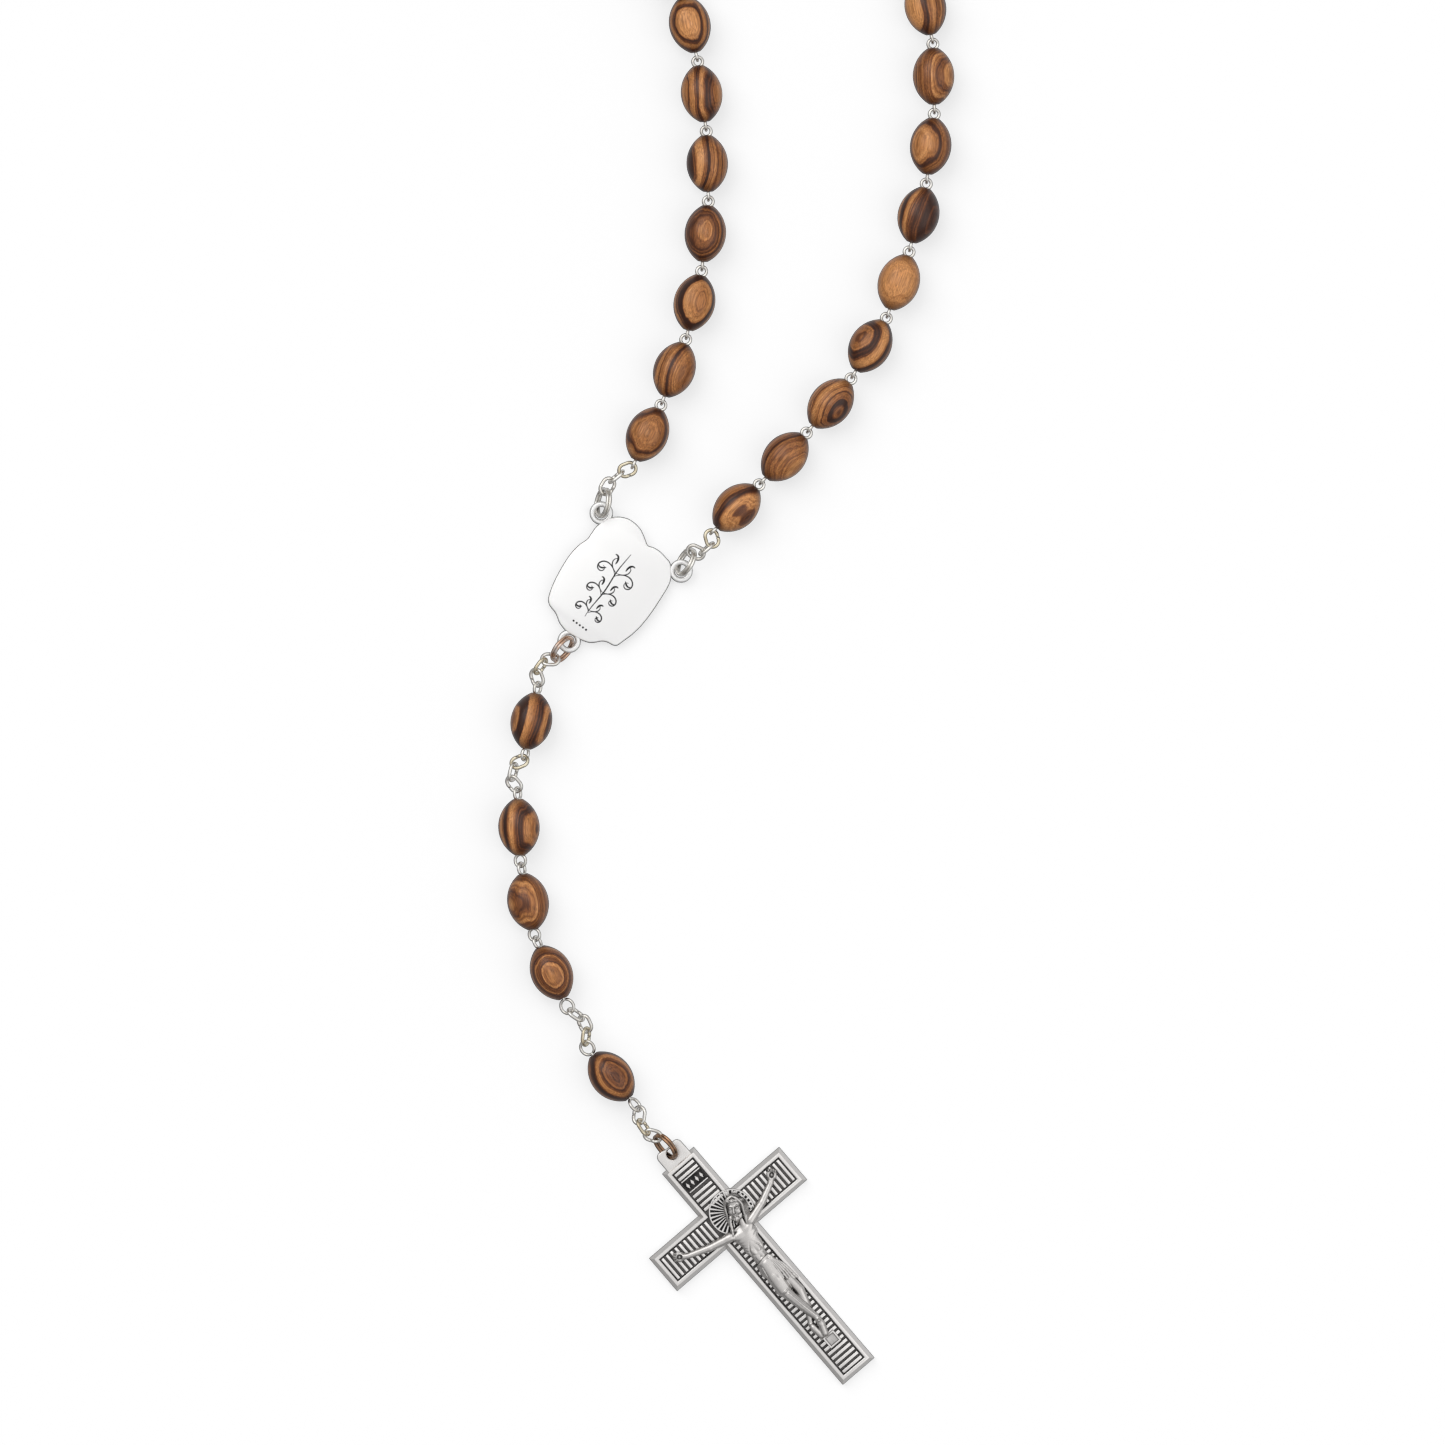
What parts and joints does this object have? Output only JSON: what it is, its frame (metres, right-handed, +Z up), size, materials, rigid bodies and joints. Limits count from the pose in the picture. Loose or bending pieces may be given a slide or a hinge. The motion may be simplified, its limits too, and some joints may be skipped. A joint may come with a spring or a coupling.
{
  "type": "rosary",
  "caption": "Loop of oval wooden beads joined by wire eye pins and chain links, with a flat centre medal and a pendant that ends in a crucifix.",
  "frame": {"origin": "on the table plane, under the middle of the centre medal", "axes": "+Z up from the table, +Y from the medal towards the far end of the loop, -Y towards the crucifix"},
  "size_m": [0.1818, 0.3084, 0.0059],
  "materials": {
    "antique_silver": "satin",
    "nickel_wire": "polished",
    "ring_wire": "satin",
    "gilt_wire": "polished",
    "copper_wire": "satin",
    "bronze_wire": "satin",
    "zebrano_1": "satin",
    "zebrano_2": "satin",
    "zebrano_3": "satin",
    "zebrano_4": "satin",
    "zebrano_5": "satin"
  },
  "bodies": {
    "centre_medal": {"centre_medal": "antique_silver"},
    "right_split_ring": {"right_split_ring": "ring_wire"},
    "right_chain_link_1": {"right_chain_link_1": "nickel_wire"},
    "right_chain_link_2": {"right_chain_link_2": "nickel_wire"},
    "right_chain_link_3": {"right_chain_link_3": "gilt_wire"},
    "right_decade_bead_01": {"right_decade_bead_01": "zebrano_1"},
    "right_decade_bead_02": {"right_decade_bead_02": "zebrano_2"},
    "right_decade_bead_03": {"right_decade_bead_03": "zebrano_3"},
    "right_decade_bead_04": {"right_decade_bead_04": "zebrano_4"},
    "right_decade_bead_05": {"right_decade_bead_05": "zebrano_5"},
    "right_decade_bead_06": {"right_decade_bead_06": "zebrano_1"},
    "right_decade_bead_07": {"right_decade_bead_07": "zebrano_2"},
    "right_decade_bead_08": {"right_decade_bead_08": "zebrano_3"},
    "right_decade_bead_09": {"right_decade_bead_09": "zebrano_4"},
    "right_decade_bead_10": {"right_decade_bead_10": "zebrano_5"},
    "right_far_strand_1": {"right_far_strand_1": "zebrano_1"},
    "right_far_strand_2": {"right_far_strand_2": "zebrano_1"},
    "right_far_strand_3": {"right_far_strand_3": "zebrano_1"},
    "left_split_ring": {"left_split_ring": "ring_wire"},
    "left_chain_link_1": {"left_chain_link_1": "nickel_wire"},
    "left_chain_link_2": {"left_chain_link_2": "nickel_wire"},
    "left_chain_link_3": {"left_chain_link_3": "gilt_wire"},
    "left_decade_bead_01": {"left_decade_bead_01": "zebrano_1"},
    "left_decade_bead_02": {"left_decade_bead_02": "zebrano_2"},
    "left_decade_bead_03": {"left_decade_bead_03": "zebrano_3"},
    "left_decade_bead_04": {"left_decade_bead_04": "zebrano_4"},
    "left_decade_bead_05": {"left_decade_bead_05": "zebrano_5"},
    "left_decade_bead_06": {"left_decade_bead_06": "zebrano_1"},
    "left_decade_bead_07": {"left_decade_bead_07": "zebrano_2"},
    "left_decade_bead_08": {"left_decade_bead_08": "zebrano_3"},
    "left_decade_bead_09": {"left_decade_bead_09": "zebrano_4"},
    "left_decade_bead_10": {"left_decade_bead_10": "zebrano_5"},
    "left_far_strand_1": {"left_far_strand_1": "zebrano_1"},
    "left_far_strand_2": {"left_far_strand_2": "zebrano_1"},
    "left_far_strand_3": {"left_far_strand_3": "zebrano_1"},
    "pendant_split_ring": {"pendant_split_ring": "copper_wire"},
    "pendant_upper_link_1": {"pendant_upper_link_1": "nickel_wire"},
    "pendant_upper_link_2": {"pendant_upper_link_2": "gilt_wire"},
    "pendant_upper_link_3": {"pendant_upper_link_3": "nickel_wire"},
    "first_our_father_eye_pin": {"first_our_father_eye_pin": "nickel_wire"},
    "first_our_father_bead": {"first_our_father_bead": "zebrano_2"},
    "pendant_middle_link_1": {"pendant_middle_link_1": "gilt_wire"},
    "pendant_middle_link_2": {"pendant_middle_link_2": "nickel_wire"},
    "pendant_middle_link_3": {"pendant_middle_link_3": "nickel_wire"},
    "hail_mary_1_eye_pin": {"hail_mary_1_eye_pin": "nickel_wire"},
    "hail_mary_1_bead": {"hail_mary_1_bead": "zebrano_3"},
    "hail_mary_2_eye_pin": {"hail_mary_2_eye_pin": "nickel_wire"},
    "hail_mary_2_bead": {"hail_mary_2_bead": "zebrano_4"},
    "hail_mary_3_eye_pin": {"hail_mary_3_eye_pin": "nickel_wire"},
    "hail_mary_3_bead": {"hail_mary_3_bead": "zebrano_5"},
    "pendant_lower_link_1": {"pendant_lower_link_1": "nickel_wire"},
    "pendant_lower_link_2": {"pendant_lower_link_2": "nickel_wire"},
    "pendant_lower_link_3": {"pendant_lower_link_3": "gilt_wire"},
    "second_our_father_eye_pin": {"second_our_father_eye_pin": "nickel_wire"},
    "second_our_father_bead": {"second_our_father_bead": "zebrano_1"},
    "crucifix_link_1": {"crucifix_link_1": "nickel_wire"},
    "crucifix_link_2": {"crucifix_link_2": "gilt_wire"},
    "crucifix_link_3": {"crucifix_link_3": "nickel_wire"},
    "crucifix_split_ring": {"crucifix_split_ring": "bronze_wire"},
    "crucifix": {"crucifix": "antique_silver"}
  },
  "joints": [
    {"name": "right_split_ring_swing", "type": "hinge", "parent": "centre_medal", "child": "right_split_ring", "pos_m": [0.01117, 0.00356, 0.001], "axis": [0.8829, -0.4695, 0], "range_deg": [-60, 18]},
    {"name": "right_chain_link_1_swing", "type": "hinge", "parent": "right_split_ring", "child": "right_chain_link_1", "pos_m": [0.01156, 0.00561, 0.003], "axis": [0.4274, 0.9041, 0], "range_deg": [-35, 35]},
    {"name": "right_chain_link_2_swing", "type": "hinge", "parent": "right_chain_link_1", "child": "right_chain_link_2", "pos_m": [0.01379, 0.00456, 0.003], "axis": [-0.4274, -0.9041, 0], "range_deg": [-35, 35]},
    {"name": "right_chain_link_3_swing", "type": "hinge", "parent": "right_chain_link_2", "child": "right_chain_link_3", "pos_m": [0.01531, 0.00584, 0.003], "axis": [-0.9639, -0.2661, 0], "range_deg": [-35, 35]},
    {"name": "right_decade_bead_01_swing", "type": "hinge", "parent": "right_chain_link_3", "child": "right_decade_bead_01", "pos_m": [0.01466, 0.00821, 0.003], "axis": [0.9639, 0.2661, 0], "range_deg": [-45, 45]},
    {"name": "right_decade_bead_02_swing", "type": "hinge", "parent": "right_decade_bead_01", "child": "right_decade_bead_02", "pos_m": [0.0222, 0.01518, 0.003], "axis": [-0.7108, 0.7034, 0], "range_deg": [-70, 70]},
    {"name": "right_decade_bead_03_swing", "type": "hinge", "parent": "right_decade_bead_02", "child": "right_decade_bead_03", "pos_m": [0.02893, 0.02257, 0.003], "axis": [0.7383, -0.6745, 0], "range_deg": [-70, 70]},
    {"name": "right_decade_bead_04_swing", "type": "hinge", "parent": "right_decade_bead_03", "child": "right_decade_bead_04", "pos_m": [0.03524, 0.03033, 0.003], "axis": [-0.7739, 0.6333, 0], "range_deg": [-70, 70]},
    {"name": "right_decade_bead_05_swing", "type": "hinge", "parent": "right_decade_bead_04", "child": "right_decade_bead_05", "pos_m": [0.0402, 0.03902, 0.003], "axis": [0.8642, -0.5031, 0], "range_deg": [-70, 70]},
    {"name": "right_decade_bead_06_swing", "type": "hinge", "parent": "right_decade_bead_05", "child": "right_decade_bead_06", "pos_m": [0.04332, 0.04854, 0.003], "axis": [-0.9471, 0.3208, 0], "range_deg": [-70, 70]},
    {"name": "right_decade_bead_07_swing", "type": "hinge", "parent": "right_decade_bead_06", "child": "right_decade_bead_07", "pos_m": [0.04572, 0.05825, 0.003], "axis": [0.9698, -0.2441, 0], "range_deg": [-70, 70]},
    {"name": "right_decade_bead_08_swing", "type": "hinge", "parent": "right_decade_bead_07", "child": "right_decade_bead_08", "pos_m": [0.04676, 0.0682, 0.003], "axis": [-0.9938, 0.1112, 0], "range_deg": [-70, 70]},
    {"name": "right_decade_bead_09_swing", "type": "hinge", "parent": "right_decade_bead_08", "child": "right_decade_bead_09", "pos_m": [0.04647, 0.0782, 0.003], "axis": [0.9998, 0.0221, 0], "range_deg": [-70, 70]},
    {"name": "right_decade_bead_10_swing", "type": "hinge", "parent": "right_decade_bead_09", "child": "right_decade_bead_10", "pos_m": [0.04436, 0.08798, 0.003], "axis": [-0.9794, -0.202, 0], "range_deg": [-70, 70]},
    {"name": "right_far_strand_1_swing", "type": "hinge", "parent": "right_decade_bead_10", "child": "right_far_strand_1", "pos_m": [0.04362, 0.09797, 0.003], "axis": [0.9968, 0.0804, 0], "range_deg": [-70, 70]},
    {"name": "right_far_strand_2_swing", "type": "hinge", "parent": "right_far_strand_1", "child": "right_far_strand_2", "pos_m": [0.02498, 0.15356, 0.003], "axis": [-0.7761, -0.6306, 0], "range_deg": [-70, 70]},
    {"name": "right_far_strand_3_swing", "type": "hinge", "parent": "right_far_strand_2", "child": "right_far_strand_3", "pos_m": [-0.03947, 0.19007, 0.003], "axis": [0.2002, 0.9797, 0], "range_deg": [-70, 70]},
    {"name": "left_split_ring_swing", "type": "hinge", "parent": "centre_medal", "child": "left_split_ring", "pos_m": [-0.00058, 0.01195, 0.001], "axis": [0.9848, -0.1736, 0], "range_deg": [-60, 18]},
    {"name": "left_chain_link_1_swing", "type": "hinge", "parent": "left_split_ring", "child": "left_chain_link_1", "pos_m": [-0.00055, 0.01341, 0.003], "axis": [-0.8587, 0.5125, 0], "range_deg": [-35, 35]},
    {"name": "left_chain_link_2_swing", "type": "hinge", "parent": "left_chain_link_1", "child": "left_chain_link_2", "pos_m": [0.00072, 0.01552, 0.003], "axis": [0.8587, -0.5125, 0], "range_deg": [-35, 35]},
    {"name": "left_chain_link_3_swing", "type": "hinge", "parent": "left_chain_link_2", "child": "left_chain_link_3", "pos_m": [0.00179, 0.01642, 0.003], "axis": [-0.3508, 0.9364, 0], "range_deg": [-35, 35]},
    {"name": "left_decade_bead_01_swing", "type": "hinge", "parent": "left_chain_link_3", "child": "left_decade_bead_01", "pos_m": [0.0041, 0.01729, 0.003], "axis": [0.3508, -0.9364, 0], "range_deg": [-45, 45]},
    {"name": "left_decade_bead_02_swing", "type": "hinge", "parent": "left_decade_bead_01", "child": "left_decade_bead_02", "pos_m": [0.00801, 0.02665, 0.003], "axis": [-0.9079, 0.4192, 0], "range_deg": [-70, 70]},
    {"name": "left_decade_bead_03_swing", "type": "hinge", "parent": "left_decade_bead_02", "child": "left_decade_bead_03", "pos_m": [0.0115, 0.03602, 0.003], "axis": [0.9359, -0.3524, 0], "range_deg": [-70, 70]},
    {"name": "left_decade_bead_04_swing", "type": "hinge", "parent": "left_decade_bead_03", "child": "left_decade_bead_04", "pos_m": [0.01368, 0.04579, 0.003], "axis": [-0.9745, 0.2242, 0], "range_deg": [-70, 70]},
    {"name": "left_decade_bead_05_swing", "type": "hinge", "parent": "left_decade_bead_04", "child": "left_decade_bead_05", "pos_m": [0.01454, 0.05576, 0.003], "axis": [0.9956, -0.0937, 0], "range_deg": [-70, 70]},
    {"name": "left_decade_bead_06_swing", "type": "hinge", "parent": "left_decade_bead_05", "child": "left_decade_bead_06", "pos_m": [0.01415, 0.06575, 0.003], "axis": [-0.9995, -0.0325, 0], "range_deg": [-70, 70]},
    {"name": "left_decade_bead_07_swing", "type": "hinge", "parent": "left_decade_bead_06", "child": "left_decade_bead_07", "pos_m": [0.01287, 0.07567, 0.003], "axis": [0.9923, 0.1236, 0], "range_deg": [-70, 70]},
    {"name": "left_decade_bead_08_swing", "type": "hinge", "parent": "left_decade_bead_07", "child": "left_decade_bead_08", "pos_m": [0.01074, 0.08545, 0.003], "axis": [-0.9781, -0.2083, 0], "range_deg": [-70, 70]},
    {"name": "left_decade_bead_09_swing", "type": "hinge", "parent": "left_decade_bead_08", "child": "left_decade_bead_09", "pos_m": [0.00425, 0.09312, 0.003], "axis": [0.7783, 0.6279, 0], "range_deg": [-70, 70]},
    {"name": "left_decade_bead_10_swing", "type": "hinge", "parent": "left_decade_bead_09", "child": "left_decade_bead_10", "pos_m": [-0.00505, 0.09697, 0.003], "axis": [-0.4037, -0.9149, 0], "range_deg": [-70, 70]},
    {"name": "left_far_strand_1_swing", "type": "hinge", "parent": "left_decade_bead_10", "child": "left_far_strand_1", "pos_m": [-0.0145, 0.10027, 0.003], "axis": [0.3339, 0.9426, 0], "range_deg": [-70, 70]},
    {"name": "left_far_strand_2_swing", "type": "hinge", "parent": "left_far_strand_1", "child": "left_far_strand_2", "pos_m": [-0.07515, 0.10733, 0.003], "axis": [-0.036, -0.9994, 0], "range_deg": [-70, 70]},
    {"name": "left_far_strand_3_swing", "type": "hinge", "parent": "left_far_strand_2", "child": "left_far_strand_3", "pos_m": [-0.12955, 0.14336, 0.003], "axis": [0.9878, -0.1559, 0], "range_deg": [-70, 70]},
    {"name": "pendant_split_ring_swing", "type": "hinge", "parent": "centre_medal", "child": "pendant_split_ring", "pos_m": [-0.00619, -0.00861, 0.001], "axis": [-0.788, 0.6157, 0], "range_deg": [-60, 18]},
    {"name": "pendant_upper_link_1_swing", "type": "hinge", "parent": "pendant_split_ring", "child": "pendant_upper_link_1", "pos_m": [-0.00681, -0.01021, 0.003], "axis": [-0.0175, -0.9998, 0], "range_deg": [-35, 35]},
    {"name": "pendant_upper_link_2_swing", "type": "hinge", "parent": "pendant_upper_link_1", "child": "pendant_upper_link_2", "pos_m": [-0.00927, -0.01017, 0.003], "axis": [0.0175, 0.9998, 0], "range_deg": [-35, 35]},
    {"name": "pendant_upper_link_3_swing", "type": "hinge", "parent": "pendant_upper_link_2", "child": "pendant_upper_link_3", "pos_m": [-0.01034, -0.01165, 0.003], "axis": [0.9442, 0.3294, 0], "range_deg": [-35, 35]},
    {"name": "first_our_father_eye_pin_swing", "type": "hinge", "parent": "pendant_upper_link_3", "child": "first_our_father_eye_pin", "pos_m": [-0.00953, -0.01397, 0.003], "axis": [-0.9442, -0.3294, 0], "range_deg": [-45, 45]},
    {"name": "first_our_father_bead_spin", "type": "hinge", "parent": "first_our_father_eye_pin", "child": "first_our_father_bead", "pos_m": [-0.01075, -0.019, 0.003], "axis": [-0.1857, -0.9826, 0], "continuous": true},
    {"name": "pendant_middle_link_1_swing", "type": "hinge", "parent": "first_our_father_eye_pin", "child": "pendant_middle_link_1", "pos_m": [-0.01131, -0.02433, 0.003], "axis": [0.3866, -0.9222, 0], "range_deg": [-35, 35]},
    {"name": "pendant_middle_link_2_swing", "type": "hinge", "parent": "pendant_middle_link_1", "child": "pendant_middle_link_2", "pos_m": [-0.01358, -0.02528, 0.003], "axis": [-0.3866, 0.9222, 0], "range_deg": [-35, 35]},
    {"name": "pendant_middle_link_3_swing", "type": "hinge", "parent": "pendant_middle_link_2", "child": "pendant_middle_link_3", "pos_m": [-0.014, -0.02703, 0.003], "axis": [0.7638, 0.6454, 0], "range_deg": [-35, 35]},
    {"name": "hail_mary_1_eye_pin_swing", "type": "hinge", "parent": "pendant_middle_link_3", "child": "hail_mary_1_eye_pin", "pos_m": [-0.01241, -0.0289, 0.003], "axis": [-0.7638, -0.6454, 0], "range_deg": [-45, 45]},
    {"name": "hail_mary_1_bead_spin", "type": "hinge", "parent": "hail_mary_1_eye_pin", "child": "hail_mary_1_bead", "pos_m": [-0.01251, -0.03413, 0.003], "axis": [0.0419, -0.9991, 0], "continuous": true},
    {"name": "hail_mary_2_eye_pin_swing", "type": "hinge", "parent": "hail_mary_1_eye_pin", "child": "hail_mary_2_eye_pin", "pos_m": [-0.0123, -0.03923, 0.003], "axis": [0, 0, -1], "range_deg": [-50, 50]},
    {"name": "hail_mary_2_bead_spin", "type": "hinge", "parent": "hail_mary_2_eye_pin", "child": "hail_mary_2_bead", "pos_m": [-0.01123, -0.04476, 0.003], "axis": [0.1908, -0.9816, 0], "continuous": true},
    {"name": "hail_mary_3_eye_pin_swing", "type": "hinge", "parent": "hail_mary_2_eye_pin", "child": "hail_mary_3_eye_pin", "pos_m": [-0.01025, -0.04977, 0.003], "axis": [0, 0, -1], "range_deg": [-50, 50]},
    {"name": "hail_mary_3_bead_spin", "type": "hinge", "parent": "hail_mary_3_eye_pin", "child": "hail_mary_3_bead", "pos_m": [-0.00787, -0.05488, 0.003], "axis": [0.4226, -0.9063, 0], "continuous": true},
    {"name": "pendant_lower_link_1_swing", "type": "hinge", "parent": "hail_mary_3_eye_pin", "child": "pendant_lower_link_1", "pos_m": [-0.00519, -0.06062, 0.003], "axis": [0.9063, 0.4226, 0], "range_deg": [-35, 35]},
    {"name": "pendant_lower_link_2_swing", "type": "hinge", "parent": "pendant_lower_link_1", "child": "pendant_lower_link_2", "pos_m": [-0.00362, -0.06103, 0.003], "axis": [-0.9092, -0.4163, 0], "range_deg": [-35, 35]},
    {"name": "pendant_lower_link_3_swing", "type": "hinge", "parent": "pendant_lower_link_2", "child": "pendant_lower_link_3", "pos_m": [-0.0026, -0.06326, 0.003], "axis": [0.9092, 0.4163, 0], "range_deg": [-35, 35]},
    {"name": "second_our_father_eye_pin_swing", "type": "hinge", "parent": "pendant_lower_link_3", "child": "second_our_father_eye_pin", "pos_m": [-0.00344, -0.06479, 0.003], "axis": [-0.766, -0.6428, 0], "range_deg": [-45, 45]},
    {"name": "second_our_father_bead_spin", "type": "hinge", "parent": "second_our_father_eye_pin", "child": "second_our_father_bead", "pos_m": [0.00063, -0.06965, 0.003], "axis": [0.6428, -0.766, 0], "continuous": true},
    {"name": "crucifix_link_1_swing", "type": "hinge", "parent": "second_our_father_eye_pin", "child": "crucifix_link_1", "pos_m": [0.00478, -0.07398, 0.003], "axis": [0.9924, -0.1232, 0], "range_deg": [-35, 35]},
    {"name": "crucifix_link_2_swing", "type": "hinge", "parent": "crucifix_link_1", "child": "crucifix_link_2", "pos_m": [0.00447, -0.07642, 0.003], "axis": [-0.9924, 0.1232, 0], "range_deg": [-35, 35]},
    {"name": "crucifix_link_3_swing", "type": "hinge", "parent": "crucifix_link_2", "child": "crucifix_link_3", "pos_m": [0.00537, -0.07776, 0.003], "axis": [0.2602, 0.9656, 0], "range_deg": [-35, 35]},
    {"name": "crucifix_split_ring_swing", "type": "hinge", "parent": "crucifix_link_3", "child": "crucifix_split_ring", "pos_m": [0.00775, -0.0784, 0.003], "axis": [-0.2602, -0.9656, 0], "range_deg": [-35, 35]},
    {"name": "crucifix_swing", "type": "hinge", "parent": "crucifix_split_ring", "child": "crucifix", "pos_m": [0.00862, -0.07995, 0.0011], "axis": [-0.7593, -0.6508, 0], "range_deg": [-60, 15]}
  ]
}
